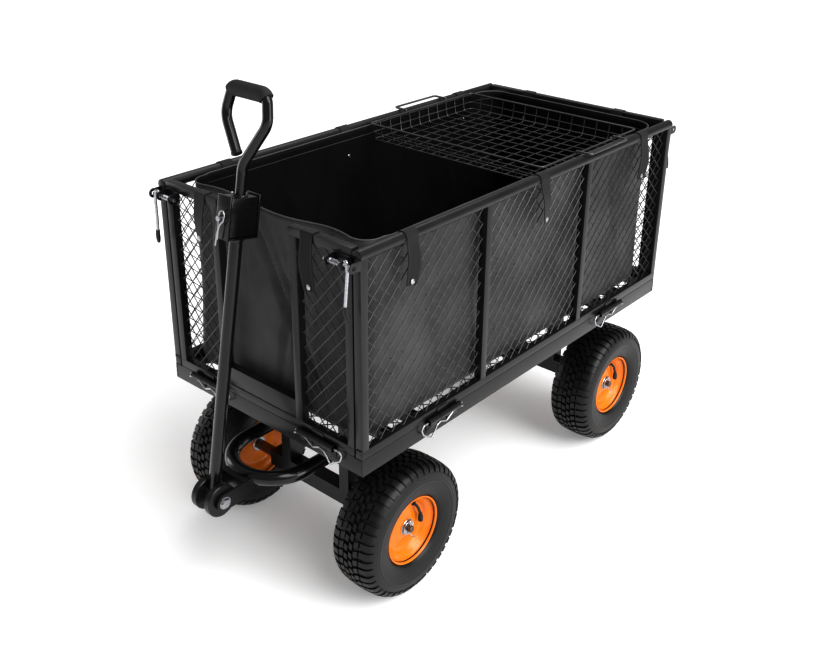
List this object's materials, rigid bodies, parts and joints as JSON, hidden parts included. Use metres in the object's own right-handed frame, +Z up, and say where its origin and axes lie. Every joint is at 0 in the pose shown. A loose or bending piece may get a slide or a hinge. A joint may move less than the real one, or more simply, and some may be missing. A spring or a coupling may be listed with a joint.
{
  "type": "garden cart",
  "caption": "Four-wheeled steel garden cart with fold-down mesh sides, fabric liner, hanging wire tray, pneumatic tyres and a steering tow bar with a D-shaped grip.",
  "frame": {"origin": "on the ground, under the middle of the cart's bounding box", "axes": "+Z is up, the tow bar is at the -Y end, and the near long side of the picture faces +X"},
  "size_m": [0.65, 1.436, 1.1826],
  "materials": {
    "frame_black": "satin black powder coat",
    "wire_black": "black coated wire",
    "tow_gloss_black": "gloss black powder coat",
    "orange_paint": "gloss orange paint",
    "bright_steel": "zinc plated steel",
    "tyre_rubber": "black block-tread rubber",
    "tube_rubber": "black rubber",
    "grip_foam": "closed-cell foam",
    "black_plastic": "moulded cap",
    "liner_fabric": "coated polyester, black inside and charcoal outside",
    "webbing": "woven strap with press stud"
  },
  "bodies": {
    "chassis": {"chassis_frame": "frame_black", "deck_mesh": "wire_black", "deck_crossbars": "frame_black", "hinge_barrels": "frame_black", "hinge_pins": "bright_steel", "kingpin": "bright_steel", "rear_axle_frame": "frame_black", "rear_axle": "bright_steel", "rear_axle_retainers": "bright_steel", "liner": "liner_fabric"},
    "front_axle": {"front_axle_frame": "frame_black", "front_axle": "bright_steel", "front_axle_retainers": "bright_steel", "tow_hoop": "tow_gloss_black", "tow_bracket": "tow_gloss_black", "tow_pivot_bolt": "bright_steel"},
    "tow_bar": {"tow_bar_tube": "tow_gloss_black", "tow_bar_foot": "tow_gloss_black", "tow_yoke": "tow_gloss_black", "tow_handle": "tow_gloss_black", "handle_grip": "grip_foam", "handle_end_cap": "black_plastic", "hitch_pin": "bright_steel", "hitch_clip": "bright_steel"},
    "front_left_wheel": {"front_left_tyre": "tyre_rubber", "front_left_rim": "orange_paint", "front_left_bearings": "bright_steel", "front_left_inner_tube": "tube_rubber"},
    "front_right_wheel": {"front_right_tyre": "tyre_rubber", "front_right_rim": "orange_paint", "front_right_bearings": "bright_steel", "front_right_inner_tube": "tube_rubber"},
    "rear_left_wheel": {"rear_left_tyre": "tyre_rubber", "rear_left_rim": "orange_paint", "rear_left_bearings": "bright_steel", "rear_left_inner_tube": "tube_rubber"},
    "rear_right_wheel": {"rear_right_tyre": "tyre_rubber", "rear_right_rim": "orange_paint", "rear_right_bearings": "bright_steel", "rear_right_inner_tube": "tube_rubber"},
    "left_panel": {"left_panel_frame": "frame_black", "left_panel_mesh": "wire_black", "left_straps": "webbing", "left_keepers": "frame_black"},
    "right_panel": {"right_panel_frame": "frame_black", "right_panel_mesh": "wire_black", "right_straps": "webbing", "right_keepers": "frame_black"},
    "front_panel": {"front_panel_frame": "frame_black", "front_panel_mesh": "wire_black", "front_straps": "webbing"},
    "rear_panel": {"rear_panel_frame": "frame_black", "rear_panel_mesh": "wire_black", "rear_straps": "webbing"},
    "front_left_latch": {"latch_front_left": "bright_steel"},
    "front_right_latch": {"latch_front_right": "bright_steel"},
    "rear_left_latch": {"latch_rear_left": "bright_steel"},
    "rear_right_latch": {"latch_rear_right": "bright_steel"},
    "tray": {"tray_floor": "wire_black", "tray_walls": "wire_black"}
  },
  "joints": [
    {"name": "steer", "type": "hinge", "parent": "chassis", "child": "front_axle", "pos_m": [0, -0.357, 0.4], "axis": [0, 0, 1], "range_deg": [-24, 24]},
    {"name": "tow_bar_tilt", "type": "hinge", "parent": "front_axle", "child": "tow_bar", "pos_m": [0, -0.68, 0.295], "axis": [1, 0, 0], "range_deg": [0, 117]},
    {"name": "front_left_spin", "type": "hinge", "parent": "front_axle", "child": "front_left_wheel", "pos_m": [0.255, -0.357, 0.168], "axis": [1, 0, 0], "continuous": true},
    {"name": "front_right_spin", "type": "hinge", "parent": "front_axle", "child": "front_right_wheel", "pos_m": [-0.255, -0.357, 0.168], "axis": [1, 0, 0], "continuous": true},
    {"name": "rear_left_spin", "type": "hinge", "parent": "chassis", "child": "rear_left_wheel", "pos_m": [0.255, 0.517, 0.168], "axis": [1, 0, 0], "continuous": true},
    {"name": "rear_right_spin", "type": "hinge", "parent": "chassis", "child": "rear_right_wheel", "pos_m": [-0.255, 0.517, 0.168], "axis": [1, 0, 0], "continuous": true},
    {"name": "left_fold", "type": "hinge", "parent": "chassis", "child": "left_panel", "pos_m": [0.318, 0.08, 0.45], "axis": [0, 1, 0], "range_deg": [0, 115]},
    {"name": "right_fold", "type": "hinge", "parent": "chassis", "child": "right_panel", "pos_m": [-0.318, 0.08, 0.45], "axis": [0, -1, 0], "range_deg": [0, 115]},
    {"name": "front_fold", "type": "hinge", "parent": "chassis", "child": "front_panel", "pos_m": [0, -0.538, 0.45], "axis": [1, 0, 0], "range_deg": [0, 115]},
    {"name": "rear_fold", "type": "hinge", "parent": "chassis", "child": "rear_panel", "pos_m": [0, 0.698, 0.45], "axis": [-1, 0, 0], "range_deg": [0, 115]},
    {"name": "front_left_latch_slide", "type": "slide", "parent": "front_panel", "child": "front_left_latch", "axis": [1, 0, 0], "range_m": [0, 0.006]},
    {"name": "front_right_latch_slide", "type": "slide", "parent": "front_panel", "child": "front_right_latch", "axis": [-1, 0, 0], "range_m": [0, 0.006]},
    {"name": "rear_left_latch_slide", "type": "slide", "parent": "rear_panel", "child": "rear_left_latch", "axis": [1, 0, 0], "range_m": [0, 0.006]},
    {"name": "rear_right_latch_slide", "type": "slide", "parent": "rear_panel", "child": "rear_right_latch", "axis": [-1, 0, 0], "range_m": [0, 0.006]},
    {"name": "tray_lift", "type": "slide", "parent": "chassis", "child": "tray", "axis": [0, 0, 1], "range_m": [0, 0.15]}
  ]
}
